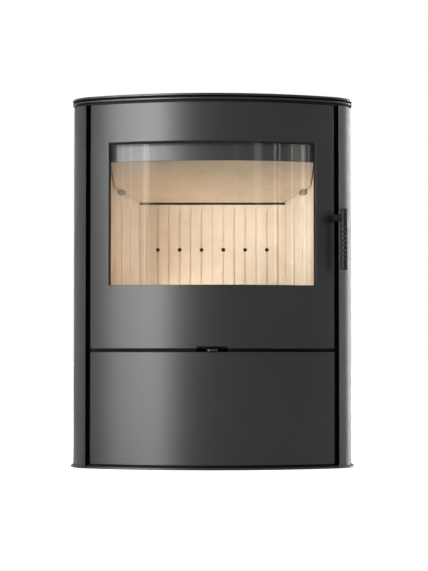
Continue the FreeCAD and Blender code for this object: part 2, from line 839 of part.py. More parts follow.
def tilt(solid, x, forward, drop):
    """Lay a solid in the baffle's slope: forward along it and dropped below its underside."""
    solid.Placement = FreeCAD.Placement(Vector(), FreeCAD.Rotation(Vector(-1, 0, 0), 1))
    solid.setExpression("Placement.Rotation.Angle", formula("baffle_tilt"))
    run, rise = "cos(baffle_tilt)", "sin(baffle_tilt)"
    place(
        solid,
        x=x,
        y=f"baffle_rear - ({forward}) * {run} - ({drop}) * {rise}",
        z=f"baffle_rear_height + ({forward}) * {rise} - ({drop}) * {run}",
    )


def air_supply():
    """Outside-air pipe, air box, slotted gate, and the slide with its lever."""
    half = "air_box_width / 2"
    depth = ("air_box_front", "air_box_rear")
    floor = "air_shelf_height + shelf_sheet"
    outer = box("air_box_outer", even(half), depth, (floor, "gate_bottom"))
    inner_half = even(f"{half} - pan_sheet")
    inner_depth = ("air_box_front + pan_sheet", "air_box_rear - pan_sheet")
    inner = box("air_box_inner", inner_half, inner_depth, (f"{floor} + pan_sheet", "gate_top"))
    port_at = ("0", "air_box_rear - 2 * pan_sheet", "inlet_height")
    port = cylinder("air_box_port", "inlet_radius - inlet_wall", "3 * pan_sheet", port_at, "y")
    node("air_box", cut("air_box_open", outer, fuse("air_box_space", inner, port)))
    gate = slotted("gate", half, depth, "gate_bottom", "gate_sheet")
    node("air_gate", fuse("gate_whole", gate, *air_guides(depth)))
    slide_half, slide_depth = "air_slide_width / 2", ("slide_front", "slide_rear")
    node("air_slide", slotted("slide", slide_half, slide_depth, "slide_bottom", "air_slide_sheet"))
    thick = ("slide_bottom", "slide_bottom + lever_thick")
    lever_y = (minus("half_depth + lever_proud"), "slide_front")
    node("air_lever", box("lever", even("lever_width / 2"), lever_y, thick))
    start, end = "air_box_rear", "half_depth + inlet_proud"
    node("air_inlet_pipe", pipe("inlet", "inlet_radius", "inlet_wall", "inlet_height", start, end))
    end = "half_depth + flue_proud"
    node("flue_collar", pipe("flue", "flue_radius", "flue_wall", "flue_height", "back_outer", end))


def slotted(name, half, depth, low, thick):
    """A plate with a row of air slots that line up with those of its neighbour."""
    body = new_body(name + "_body")
    pad(body, rectangle(body, name + "_plate", "XY_Plane", even(half), depth), thick)
    first = f"-{(counts['air_slots'] - 1) / 2} * air_slot_pitch"
    across = (f"{first} - air_slot / 2", f"{first} + air_slot / 2")
    along = ("slide_front + guide_width", "slide_rear - guide_width")
    slot = rectangle(body, name + "_slot", "XY_Plane", across, along)
    repeat(body, pocket(body, slot, thick, upward=True), "X_Axis", "air_slot_pitch", counts["air_slots"])
    place(body, z=low)
    return body


def air_guides(depth):
    """Strips on the gate that the slide runs between; the front pair leaves room for the lever."""
    tall = ("gate_top", "slide_bottom + air_slide_sheet")
    rear = ("slide_rear + fit_gap", "slide_rear + fit_gap + guide_width")
    front = (depth[0], "slide_front - fit_gap")
    reach = "air_box_width / 2"
    lever_room = "lever_width / 2 + air_travel + arm_clear"
    return (
        box("guide_rear", even(reach), rear, tall),
        box("guide_front_right", (lever_room, reach), front, tall),
        box("guide_front_left", (minus(reach), minus(lever_room)), front, tall),
    )


def pipe(name, radius, wall, height, start, end):
    """A round tube along Y between two depths."""
    length = f"({end}) - ({start})"
    at = ("0", start, height)
    outside = cylinder(name + "_outside", f"{radius} + {wall}", length, at, "y")
    return cut(name + "_tube", outside, cylinder(name + "_bore", radius, length, at, "y"))


def ash_pan():
    """Tray that slides forward on its shelf, with a folded pull at the front."""
    half = "pan_width / 2"
    depth = ("pan_front", "pan_rear")
    outer = box("pan_outer", even(half), depth, ("pan_bottom", "pan_bottom + pan_height"))
    inner_depth = ("pan_front + pan_sheet", "pan_rear - pan_sheet")
    space = ("pan_bottom + pan_sheet", "pan_bottom + 2 * pan_height")
    tray = cut("pan_tray", outer, box("pan_space", even(f"{half} - pan_sheet"), inner_depth, space))
    pull_y = ("pan_front - pull_reach", "pan_front")
    pull_z = ("pan_bottom + pan_height / 2", "pan_bottom + pan_height / 2 + 2 * pan_sheet")
    node("ash_pan", fuse("pan_whole", tray, box("pan_pull", even("pull_width / 2"), pull_y, pull_z)))


def fire_door():
    """Curved door sheet with its window, glass, inner frame and seals."""
    panel = shell("fire_sheet", "front_radius", "door_inner", even("door_half"), ("split_high", "door_top"))
    opening = window("fire_window", even("window_half"), ("window_bottom", "window_top"))
    notch = window("fire_notch", even("notch_width / 2"), ("split_low", "split_high + notch_height"))
    node("fire_door_panel", cut("fire_open", panel, fuse("fire_openings", opening, notch)))
    glass_z = ("glass_low", "glass_high")
    pane = even("glass_half")
    node("glass", shell("pane", "glass_outer", "glass_inner", pane, glass_z))
    gasket = shell("gasket_sheet", "door_inner", "glass_outer", pane, glass_z)
    inner_x = even("glass_half - gasket_width - gasket_show")
    inner_z = ("glass_low + gasket_width", "glass_high - gasket_width - gasket_show")
    node("glass_gasket", cut("gasket_ring", gasket, window("gasket_hole", inner_x, inner_z)))
    door_frame()
    outer_z = ("frame_low + seal_inset", "frame_high - seal_inset")
    rope = shell("seal_band", "frame_inner", "face_outer + seal_gap", even("seal_half"), outer_z)
    hole_z = (f"{outer_z[0]} + seal_size", f"{outer_z[1]} - seal_size")
    node("door_seal", cut("seal_ring", rope, window("seal_hole", even("seal_half - seal_size"), hole_z)))


def clip_holes(name):
    """Four screw holes through the glass clips and the frame behind them."""
    radius = "screw_radius + screw_play"
    return fuse(name, *[
        cylinder(f"{name}_{index}", radius, "body_depth / 2", (x, minus("half_depth"), z), "y")
        for index, (x, z) in enumerate(clip_spots())
    ])


def clip_spots():
    middle = "clip_height / 2 - clip_lap / 2"
    heights = (f"glass_high + {middle}", f"glass_low - ({middle})")
    return [(x, z) for z in heights for x in even("clip_width / 4")]


def door_frame():
    """Inner frame round the glass, with an open field behind the apron, and the glass clips."""
    blank = shell("frame_band", "door_inner", "frame_inner", even("frame_half"), ("frame_low", "frame_high"))
    pane_z = ("glass_low - glass_play", "glass_high + glass_play")
    pane = window("frame_pane", even("glass_half + glass_play"), pane_z)
    relief = window("frame_relief", even("window_half"), ("relief_low", "relief_high"))
    frame = cut("frame_ring", blank, fuse("frame_openings", pane, relief))
    node("door_frame", cut("frame_drilled", frame, clip_holes("frame_holes")))
    across = even("clip_width / 2")
    clip_face = "frame_inner - clip_sheet"
    clips = []
    upper, lower = "glass_high - clip_lap", "glass_low + clip_lap"
    for name, foot, plate in (
        ("top", (upper, "glass_high"), (upper, f"{upper} + clip_height")),
        ("bottom", ("glass_low", lower), (f"{lower} - clip_height", lower)),
    ):
        toe = shell(f"clip_{name}_toe", "glass_inner", "frame_inner", across, foot)
        flat = shell(f"clip_{name}_flat", "frame_inner", clip_face, across, plate)
        clip = fuse(f"clip_{name}_blank", toe, flat)
        clips.append(cut(f"clip_{name}_drilled", clip, clip_holes(f"clip_{name}_holes")))
    node("glass_clips", group("clip_pair", *clips))
    seat = f"arc_y - sqrt(({clip_face})^2 - (clip_width / 4)^2) + seal_gap"
    screws = [
        screw(f"clip_screw_{index}", x, seat, z, "-screw_length", "screw_head")
        for index, (x, z) in enumerate(clip_spots())
    ]
    node("glass_clip_screws", group("clip_screw_set", *screws))


def lower_door():
    """Curved lower door with a stiffening frame and the strike of its magnet catch."""
    tall = ("door_bottom", "split_low")
    node("lower_door_panel", shell("lower_sheet", "front_radius", "door_inner", even("door_half"), tall))
    outer_z = ("lower_frame_low", "lower_frame_high")
    band = shell("stiffener_band", "door_inner", "door_inner - stiffener_depth", even("frame_half"), outer_z)
    hole_z = (f"{outer_z[0]} + stiffener_width", f"{outer_z[1]} - stiffener_width")
    hole = window("stiffener_hole", even("frame_half - stiffener_width"), hole_z)
    node("lower_door_stiffener", cut("stiffener_ring", band, hole))
    across = ("catch_start", "catch_end")
    tall = ("catch_height - catch_size / 2", "catch_height + catch_size / 2")
    strike_face = "door_inner - strike_gap - strike_sheet"
    node("catch_strike", shell("strike", "door_inner - strike_gap", strike_face, across, tall))
    node("magnet_catch", shell("magnet", f"{strike_face} - fit_gap", "face_outer", across, tall))


def hinges():
    """Both doors turn about one line; their brackets and pins stay on the left jamb."""
    fire_brackets, fire_pins = hinge_set("fire_door", "frame_low", "frame_high")
    lower_brackets, lower_pins = hinge_set("lower_door", "lower_frame_low", "lower_frame_high")
    node("hinge_brackets", group("bracket_set", *fire_brackets, *lower_brackets))
    node("hinge_pins", group("pin_set", *fire_pins, *lower_pins))


def hinge_set(name, low, high):
    """Blocks with bushes on the door, and brackets with pins on the left jamb."""
    blocks, bushes, brackets, pins = [], [], [], []
    ends = (
        ("top", f"{high} - hinge_block_height", f"{high} + bracket_play"),
        ("bottom", low, f"{low} - bracket_play - bracket_height"),
    )
    bore = "pin_radius + pin_clearance"
    for end, block_low, bracket_low in ends:
        tag = f"{name}_{end}"
        block_z = (block_low, f"{block_low} + hinge_block_height")
        across = (minus("block_half"), minus("frame_half + fit_gap"))
        block = shell(f"{tag}_block", "door_inner", "block_inner", across, block_z)
        hole = hinge_bar(f"{tag}_hole", "bush_radius", block_z)
        blocks.append(cut(f"{tag}_bored", block, hole))
        bush = hinge_bar(f"{tag}_bush", "bush_radius", block_z)
        bushes.append(cut(f"{tag}_sleeve", bush, hinge_bar(f"{tag}_bush_bore", bore, block_z)))
        bracket_z = (bracket_low, f"{bracket_low} + bracket_height")
        brackets.append(hinge_bracket(f"{tag}_bracket", bracket_z, bore))
        lowest, highest = (bracket_z[0], block_z[1]) if end == "bottom" else (block_z[0], bracket_z[1])
        pins.append(hinge_bar(f"{tag}_pin", "pin_radius", (lowest, highest)))
    node(f"{name}_hinge_blocks", group(f"{name}_blocks", *blocks))
    node(f"{name}_hinge_bushes", group(f"{name}_bushes", *bushes))
    return brackets, pins


def hinge_bar(name, radius, z):
    low, high = z
    return cylinder(name, radius, f"({high}) - ({low})", ("hinge_x", "hinge_y", low))


def hinge_bracket(name, z, bore):
    """A round eye on an arm that stands off the jamb, clear of the door's turning edge."""
    eye = hinge_bar(name + "_eye", "bracket_radius", z)
    start = "hinge_x + bracket_radius / 2 + bracket_play"
    depth = ("hinge_y - bracket_radius", "hinge_y + face_outer - face_inner + 2 * seal_size")
    arm = box(name + "_arm", (start, f"{start} + bracket_width"), depth, z)
    whole = fuse(name + "_whole", eye, arm)
    trimmed = cut(name + "_trimmed", whole, drum(name + "_face", "face_outer", z))
    return cut(name, trimmed, hinge_bar(name + "_bore", bore, z))


def handle():
    """Vertical bar with a grip, on an arm and shaft that turn in two ears behind the door's edge."""
    axis = ("shaft_y", "arm_height")
    bar = new_body("handle_bar_body")
    edge = "bar_radius - bar_rounding"
    profile = [
        ("0", "bar_bottom"),
        (edge, "bar_bottom"),
        ("bar_radius", "bar_bottom + bar_rounding"),
        ("bar_radius", "grip_bottom"),
        ("core_radius", "grip_bottom"),
        ("core_radius", "grip_top"),
        ("bar_radius", "grip_top"),
        ("bar_radius", "bar_top - bar_rounding"),
        (edge, "bar_top"),
        ("0", "bar_top"),
    ]
    turned = bar.newObject("PartDesign::Revolution", "handle_bar_turned")
    turned.Profile = polygon(bar, "handle_bar_profile", "XZ_Plane", profile)
    turned.ReferenceAxis = (turned.Profile[0], ["V_Axis"])
    place(bar, x="bar_x", y="bar_y")
    node("handle_bar", bar)
    at = ("bar_x", "bar_y", "grip_bottom")
    length = "grip_top - grip_bottom"
    sleeve = cylinder("grip_outside", "bar_radius", length, at)
    node("handle_grip", cut("grip_sleeve", sleeve, cylinder("grip_bore", "core_radius", length, at)))
    handle_arm(axis)
    shaft_length = "arm_start - ear_start"
    shaft = cylinder("shaft", "shaft_radius", shaft_length, ("ear_start", *axis), "x")
    cam = cylinder("cam_disc", "cam_radius", "cam_end - cam_start", ("cam_start", *axis), "x")
    node("handle_shaft", fuse("shaft_with_cam", shaft, cam))
    ears = []
    for name, start in (("inner", "ear_start"), ("outer", "ear_end - ear_thick")):
        tall = ("arm_height - ear_height / 2", "arm_height + ear_height / 2")
        depth = (minus("half_depth"), "shaft_y + ear_reach")
        blank = box(f"ear_{name}_blank", (start, f"{start} + ear_thick"), depth, tall)
        ear = common(f"ear_{name}_fitted", blank, drum(f"ear_{name}_back", "door_inner", tall))
        hole = cylinder(f"ear_{name}_hole", "shaft_radius + pin_clearance", "ear_thick", (start, *axis), "x")
        ears.append(cut(f"ear_{name}", ear, hole))
    node("handle_ears", group("handle_ear_pair", *ears))
    keeper_z = ("arm_height - ear_height / 2", "arm_height + ear_height / 2")
    keeper = shell("keeper", "face_outer + keeper_sheet", "face_outer", ("cam_start", "cam_end"), keeper_z)
    node("latch_keeper", keeper)


def handle_arm(axis):
    """A flat link in the strip beside the door, and a round neck that carries the bar."""
    across = ("arm_start", "arm_end")
    thick = "arm_end - arm_start"
    tall = ("arm_height - arm_radius", "arm_height + arm_radius")
    rear_end = cylinder("arm_rear", "arm_radius", thick, ("arm_start", *axis), "x")
    link = box("arm_link", across, ("bar_y", "shaft_y"), tall)
    neck_at = ("bar_x - neck_length", "bar_y", "arm_height")
    neck = cylinder("arm_neck", "arm_radius", "neck_length", neck_at, "x")
    bar_at = ("bar_x", "bar_y", "bar_bottom")
    seat = cylinder("arm_seat", "bar_radius", "bar_top - bar_bottom", bar_at)
    node("handle_arm", cut("arm_seated", fuse("arm_whole", rear_end, link, neck), seat))


def check_and_write():
    """Stop on any failed object or bad solid, then write one file for each sub-part."""
    doc.recompute()
    failed = [item.Name for item in doc.Objects if {"Invalid", "Error"} & set(item.State)]
    if failed:
        raise RuntimeError(f"Failed objects: {failed}")
    for item in nodes:
        shape = item.Shape
        if shape.isNull() or not shape.isValid() or not shape.Solids:
            raise RuntimeError(f"{item.Label} has no valid solid")
    os.makedirs("parts", exist_ok=True)
    for item in nodes:
        item.Shape.exportStep(os.path.join("parts", item.Label + ".step"))
    print(f"{len(nodes)} sub-parts written")


casing()
face_frame()
carcass()
lining()
baffle()
air_supply()
ash_pan()
fire_door()
lower_door()
hinges()
handle()
check_and_write()
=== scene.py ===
import math

import bpy
import numpy as np
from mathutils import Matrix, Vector


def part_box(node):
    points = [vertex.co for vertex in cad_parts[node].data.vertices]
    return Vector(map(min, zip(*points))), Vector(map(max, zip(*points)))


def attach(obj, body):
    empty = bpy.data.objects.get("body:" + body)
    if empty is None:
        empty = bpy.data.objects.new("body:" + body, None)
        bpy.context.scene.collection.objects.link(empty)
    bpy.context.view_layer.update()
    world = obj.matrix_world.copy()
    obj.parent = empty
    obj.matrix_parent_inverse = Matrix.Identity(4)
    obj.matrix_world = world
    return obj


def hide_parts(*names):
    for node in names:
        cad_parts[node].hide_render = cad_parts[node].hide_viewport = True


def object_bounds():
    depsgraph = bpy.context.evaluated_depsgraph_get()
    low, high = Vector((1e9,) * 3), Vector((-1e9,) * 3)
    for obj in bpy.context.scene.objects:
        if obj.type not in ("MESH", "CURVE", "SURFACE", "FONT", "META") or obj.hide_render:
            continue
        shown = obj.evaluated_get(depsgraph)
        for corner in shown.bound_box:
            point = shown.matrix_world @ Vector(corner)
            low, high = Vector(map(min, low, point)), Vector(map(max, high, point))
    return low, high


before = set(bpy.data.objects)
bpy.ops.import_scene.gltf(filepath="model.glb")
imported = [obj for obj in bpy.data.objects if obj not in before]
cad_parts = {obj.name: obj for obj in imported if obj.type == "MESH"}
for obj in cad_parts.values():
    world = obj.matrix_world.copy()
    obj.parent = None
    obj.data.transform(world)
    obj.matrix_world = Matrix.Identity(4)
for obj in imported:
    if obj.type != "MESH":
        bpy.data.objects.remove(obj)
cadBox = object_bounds()
scene = bpy.context.scene

# The doors, the face frame and the plates all follow one circle in plan, whose axis is behind the stove.
plan = {
    "frontRadius": 0.600,
    "cornerRadius": 0.070,
    "arcStep": 0.0045,  # spacing of grid lines round the front
    "longStep": 0.060,  # spacing of grid lines along straight runs
    "cornerSteps": 24,
}
doorLow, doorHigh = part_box("fire_door_panel")
axisY = doorLow.y + plan["frontRadius"]


def arcY(x, radius):
    # y of the front circle of that radius at x
    return axisY - np.sqrt(radius**2 - np.asarray(x) ** 2)


def gridLines(stops, step):
    # lines through every stop, evenly spaced between neighbouring stops and no wider apart than the step
    spans = list(zip(stops, stops[1:]))
    runs = [np.linspace(a, b, math.ceil((b - a) / step) + 1)[:-1] for a, b in spans]
    return np.concatenate(runs + [stops[-1:]])


def gridQuads(rows, columns, wrapColumns=False, wrapRows=False):
    # the four corners of each cell of a grid of points; a wrapped grid joins its last line to its first
    index = np.arange(rows * columns).reshape(rows, columns)
    if wrapColumns:
        index = np.hstack([index, index[:, :1]])
    if wrapRows:
        index = np.vstack([index, index[:1]])
    corners = [index[:-1, :-1], index[:-1, 1:], index[1:, 1:], index[1:, :-1]]
    return np.stack(corners, axis=-1).reshape(-1, 4)


def usedOnly(points, quads):
    used, renumbered = np.unique(quads, return_inverse=True)
    return points[used], renumbered.reshape(quads.shape)


def newPiece(name, points, faces, body, slotName, replaced):
    mesh = bpy.data.meshes.new(name)
    mesh.from_pydata(np.asarray(points).tolist(), [], [list(map(int, face)) for face in faces])
    mesh.shade_smooth()
    mesh.validate()
    piece = bpy.data.objects.new(name, mesh)
    scene.collection.objects.link(piece)
    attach(piece, body)
    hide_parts(*replaced)
    mesh.materials.append(finishes[slotName])
    return piece


def thicken(piece, wall):
    solidify = piece.modifiers.new("wall", "SOLIDIFY")
    solidify.thickness = wall
    solidify.offset = -1
    solidify.use_even_offset = True


def soften(piece, width, segments=2, angle=35):
    bevel = piece.modifiers.new("softEdges", "BEVEL")
    bevel.width = width
    bevel.segments = segments
    bevel.limit_method = "ANGLE"
    bevel.angle_limit = math.radians(angle)
    bevel.harden_normals = True
    bevel.use_clamp_overlap = True


def curvedSheet(radius, xStops, zStops, openings=()):
    # x and z run over the grid, y is on the front circle; cells inside an opening are left out
    x, z = np.meshgrid(gridLines(xStops, plan["arcStep"]), gridLines(zStops, plan["longStep"]))
    points = np.stack([x, arcY(x, radius), z], axis=-1).reshape(-1, 3)
    quads = gridQuads(*x.shape)
    middle = points[quads].mean(axis=1)
    kept = np.ones(len(quads), bool)
    for xLow, xHigh, zLow, zHigh in openings:
        insideX = (middle[:, 0] > xLow) & (middle[:, 0] < xHigh)
        kept &= ~(insideX & (middle[:, 2] > zLow) & (middle[:, 2] < zHigh))
    return usedOnly(points, quads[kept])


def frontCorner():
    # the centre of the right front corner's arc, and the angle at which it meets the big arc
    _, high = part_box("side_panel_right")
    x = high.x - plan["cornerRadius"]
    reach = plan["frontRadius"] - plan["cornerRadius"]
    return x, axisY - math.sqrt(reach**2 - x**2), math.asin(x / reach)


def arc(x, y, radius, start, end, count):
    # points on a circle, with the angle counted from straight forward towards the right
    angle = np.linspace(start, end, count)
    return np.column_stack([x + radius * np.sin(angle), y - radius * np.cos(angle)])


def newGroup(name, inputs, outputs):
    # a shader group with plain number inputs, fed by Object coordinates
    group = bpy.data.node_groups.new(name, "ShaderNodeTree")
    kind = "NodeSocketFloat"
    for label, value in inputs.items():
        socket = group.interface.new_socket(label, in_out="INPUT", socket_type=kind)
        socket.default_value = value
    for label in outputs:
        group.interface.new_socket(label, in_out="OUTPUT", socket_type=kind)
    start = group.nodes.new("NodeGroupInput")
    end = group.nodes.new("NodeGroupOutput")
    coordinates = group.nodes.new("ShaderNodeTexCoord")
    return group, start, end, coordinates.outputs["Object"]


# What the finishes are made of: how fine each noise is, and the part of each range that is used.
patterns = {
    "grain": {"detail": 3, "roughness": 0.6, "range": (0.3, 0.7)},
    "clouds": {"detail": 4, "roughness": 0.55, "range": (0.3, 0.7)},
    "lines": {"detail": 2, "roughness": 0.5, "range": (0.3, 0.7)},
    "tone": {"detail": 5, "roughness": 0.6, "range": (0.32, 0.68)},
    "grit": {"detail": 4, "roughness": 0.65},
    "pits": {"range": (0.12, 0.34)},
}


def noise(group, vector, scale, kind):
    texture = group.nodes.new("ShaderNodeTexNoise")
    group.links.new(vector, texture.inputs["Vector"])
    group.links.new(scale, texture.inputs["Scale"])
    texture.inputs["Detail"].default_value = patterns[kind]["detail"]
    texture.inputs["Roughness"].default_value = patterns[kind]["roughness"]
    return texture.outputs["Fac"]


def spread(tree, value, low, high):
    # stretches the range from low to high to the whole range from 0 to 1
    mapping = tree.nodes.new("ShaderNodeMapRange")
    mapping.inputs["From Min"].default_value = low
    mapping.inputs["From Max"].default_value = high
    tree.links.new(value, mapping.inputs["Value"])
    return mapping.outputs["Result"]


def mixValues(group, share, first, second):
    mix = group.nodes.new("ShaderNodeMix")
    group.links.new(share, mix.inputs["Factor"])
    group.links.new(first, mix.inputs["A"])
    group.links.new(second, mix.inputs["B"])
    return mix.outputs["Result"]


def calculate(tree, operation, first, second):
    # a math node on two sockets, or on a socket and a number
    node = tree.nodes.new("ShaderNodeMath")
    node.operation = operation
    tree.links.new(first, node.inputs[0])
    if isinstance(second, float):
        node.inputs[1].default_value = second
    else:
        tree.links.new(second, node.inputs[1])
    return node.outputs["Value"]


def chooseShader(tree, share, first, second, end):
    choice = tree.nodes.new("ShaderNodeMixShader")
    tree.links.new(share, choice.inputs["Fac"])
    tree.links.new(first, choice.inputs[1])
    tree.links.new(second, choice.inputs[2])
    tree.links.new(choice.outputs["Shader"], end.inputs["Surface"])


def grainGroup():
    # fine grain over broad clouds: the mask mixes both, the height is the grain alone
    group, start, end, place = newGroup(
        "paintGrain", {"Grain Scale": 900, "Cloud Scale": 9, "Cloud Share": 0.5}, ("Mask", "Height")
    )
    grain = noise(group, place, start.outputs["Grain Scale"], "grain")
    clouds = noise(group, place, start.outputs["Cloud Scale"], "clouds")
    fine = spread(group, grain, *patterns["grain"]["range"])
    broad = spread(group, clouds, *patterns["clouds"]["range"])
    mask = mixValues(group, start.outputs["Cloud Share"], fine, broad)
    group.links.new(mask, end.inputs["Mask"])
    group.links.new(grain, end.inputs["Height"])
    return group


def brushGroup():
    # noise drawn out along Z, as a brush or a drawing die leaves it
    group, start, end, place = newGroup(
        "drawnLines", {"Line Scale": 1400, "Stretch": 0.02}, ("Mask", "Height")
    )
    squeeze = group.nodes.new("ShaderNodeCombineXYZ")
    squeeze.inputs["X"].default_value = 1
    squeeze.inputs["Y"].default_value = 1
    group.links.new(start.outputs["Stretch"], squeeze.inputs["Z"])
    scaled = group.nodes.new("ShaderNodeVectorMath")
    scaled.operation = "MULTIPLY"
    group.links.new(place, scaled.inputs[0])
    group.links.new(squeeze.outputs["Vector"], scaled.inputs[1])
    lines = noise(group, scaled.outputs["Vector"], start.outputs["Line Scale"], "lines")
    group.links.new(spread(group, lines, *patterns["lines"]["range"]), end.inputs["Mask"])
    group.links.new(lines, end.inputs["Height"])
    return group


def pitGroup():
    # pressed grit: cell centres make small pits, a soft noise makes the tone wander
    group, start, end, place = newGroup(
        "pressedGrit", {"Pit Scale": 320, "Tone Scale": 14}, ("Tone", "Pits", "Height")
    )
    cells = group.nodes.new("ShaderNodeTexVoronoi")
    group.links.new(place, cells.inputs["Vector"])
    group.links.new(start.outputs["Pit Scale"], cells.inputs["Scale"])
    pits = spread(group, cells.outputs["Distance"], *patterns["pits"]["range"])
    tone = noise(group, place, start.outputs["Tone Scale"], "tone")
    grit = noise(group, place, start.outputs["Pit Scale"], "grit")
    height = calculate(group, "MULTIPLY", pits, grit)
    group.links.new(spread(group, tone, *patterns["tone"]["range"]), end.inputs["Tone"])
    group.links.new(pits, end.inputs["Pits"])
    group.links.new(height, end.inputs["Height"])
    return group


groups = {"grain": grainGroup(), "brush": brushGroup(), "grit": pitGroup()}
bumpDepth = {"grain": 0.0004, "brush": 0.0002, "grit": 0.0006}
finishes = {}


def newFinish(slotName, plain):
    # a material with one Principled shader, whose constant values go on its own sockets
    material = bpy.data.materials.new(slotName)
    material.use_nodes = True
    shader = material.node_tree.nodes["Principled BSDF"]
    for socket, value in plain.items():
        shader.inputs[socket].default_value = value
    finishes[slotName] = material
    return material.node_tree, shader


def placeGroup(tree, group, values):
    node = tree.nodes.new("ShaderNodeGroup")
    node.node_tree = group
    for label, value in values.items():
        node.inputs[label].default_value = value
    return node


def feedColour(tree, shader, share, dark, pale):
    ramp = tree.nodes.new("ShaderNodeValToRGB")
    ramp.color_ramp.elements[0].color = (*dark, 1)
    ramp.color_ramp.elements[1].color = (*pale, 1)
    tree.links.new(share, ramp.inputs["Fac"])
    tree.links.new(ramp.outputs["Color"], shader.inputs["Base Color"])


def feedRoughness(tree, shader, share, low, high):
    mapping = tree.nodes.new("ShaderNodeMapRange")
    mapping.inputs["To Min"].default_value = low
    mapping.inputs["To Max"].default_value = high
    tree.links.new(share, mapping.inputs["Value"])
    tree.links.new(mapping.outputs["Result"], shader.inputs["Roughness"])


def feedBump(tree, shader, height, strength, distance):
    bump = tree.nodes.new("ShaderNodeBump")
    bump.inputs["Strength"].default_value = strength
    bump.inputs["Distance"].default_value = distance
    tree.links.new(height, bump.inputs["Height"])
    tree.links.new(bump.outputs["Normal"], shader.inputs["Normal"])


# Sprayed and cast metal: a dark and a pale tone mixed by the grain, a roughness range and a fine bump.
grainFinishes = {
    "stove_paint": {"dark": (0.105, 0.105, 0.107), "pale": (0.130, 0.130, 0.132), "rough": (0.30, 0.35),
                    "grain": 1300, "clouds": 6, "cloudShare": 0.35, "bump": 0.05, "metal": 0.9},
    "black_paint": {"dark": (0.004, 0.004, 0.004), "pale": (0.008, 0.008, 0.008), "rough": (0.48, 0.60),
                    "grain": 1100, "clouds": 9, "cloudShare": 0.4, "bump": 0.10, "metal": 0.0},
    "carcass_steel": {"dark": (0.030, 0.030, 0.031), "pale": (0.055, 0.054, 0.053), "rough": (0.42, 0.62),
                      "grain": 600, "clouds": 14, "cloudShare": 0.6, "bump": 0.12, "metal": 0.5},
    "cast_grate": {"dark": (0.022, 0.021, 0.020), "pale": (0.060, 0.056, 0.052), "rough": (0.55, 0.75),
                   "grain": 420, "clouds": 22, "cloudShare": 0.5, "bump": 0.40, "metal": 0.6},
    "handle_black": {"dark": (0.012, 0.012, 0.012), "pale": (0.018, 0.018, 0.018), "rough": (0.36, 0.44),
                     "grain": 1500, "clouds": 20, "cloudShare": 0.3, "bump": 0.06, "metal": 0.0},
}
for slotName, look in grainFinishes.items():
    tree, shader = newFinish(slotName, {"Metallic": look["metal"]})
    grain = placeGroup(tree, groups["grain"], {
        "Grain Scale": look["grain"], "Cloud Scale": look["clouds"], "Cloud Share": look["cloudShare"],
    })
    feedColour(tree, shader, grain.outputs["Mask"], look["dark"], look["pale"])
    feedRoughness(tree, shader, grain.outputs["Mask"], *look["rough"])
    feedBump(tree, shader, grain.outputs["Height"], look["bump"], bumpDepth["grain"])

# The handle's black is painted paler in the dimples, where the mesh says that its skin is sunk: a painted
# highlight in place of the glints on the dimples' edges.
dimpleHighlight = {"tone": (0.24, 0.24, 0.235), "shallow": 0.35, "deep": 0.95}


def paintDimpleHighlights(tree, shader):
    sunk = tree.nodes.new("ShaderNodeAttribute")
    sunk.attribute_name = "sunk"
    share = spread(tree, sunk.outputs["Fac"], dimpleHighlight["shallow"], dimpleHighlight["deep"])
    # mixes the painted highlight tone into the base colour, deepest in each dimple
    mix = tree.nodes.new("ShaderNodeMixRGB")
    mix.inputs["Color2"].default_value = (*dimpleHighlight["tone"], 1)
    tree.links.new(share, mix.inputs["Fac"])
    tree.links.new(shader.inputs["Base Color"].links[0].from_socket, mix.inputs["Color1"])
    tree.links.new(mix.outputs["Color"], shader.inputs["Base Color"])


handleTree = finishes["handle_black"].node_tree
paintDimpleHighlights(handleTree, handleTree.nodes["Principled BSDF"])

# Bare metal keeps the lines that it was drawn or turned with.
bareMetals = {
    "bright_steel": {"dark": (0.20, 0.20, 0.205), "pale": (0.30, 0.30, 0.30), "rough": (0.24, 0.36),
                     "bump": 0.08},
    "bush_brass": {"dark": (0.52, 0.38, 0.16), "pale": (0.70, 0.54, 0.27), "rough": (0.22, 0.34),
                   "bump": 0.06},
}
for slotName, look in bareMetals.items():
    tree, shader = newFinish(slotName, {"Metallic": 1.0})
    lines = placeGroup(tree, groups["brush"], {})
    feedColour(tree, shader, lines.outputs["Mask"], look["dark"], look["pale"])
    feedRoughness(tree, shader, lines.outputs["Mask"], *look["rough"])
    feedBump(tree, shader, lines.outputs["Height"], look["bump"], bumpDepth["brush"])

# Pressed brick and braided cord share the grit, at very different scales.
gritFinishes = {
    "fire_brick": {"dark": (0.68, 0.575, 0.445), "pale": (0.75, 0.65, 0.52), "rough": (0.82, 0.94),
                   "pits": 420, "tones": 30, "bump": 0.15},
    "rope_seal": {"dark": (0.012, 0.012, 0.012), "pale": (0.060, 0.058, 0.055), "rough": (0.85, 0.97),
                  "pits": 900, "tones": 260, "bump": 0.70},
}
for slotName, look in gritFinishes.items():
    tree, shader = newFinish(slotName, {"Metallic": 0.0})
    grit = placeGroup(tree, groups["grit"], {"Pit Scale": look["pits"], "Tone Scale": look["tones"]})
    feedColour(tree, shader, grit.outputs["Tone"], look["dark"], look["pale"])
    feedRoughness(tree, shader, grit.outputs["Pits"], *look["rough"])
    feedBump(tree, shader, grit.outputs["Height"], look["bump"], bumpDepth["grit"])

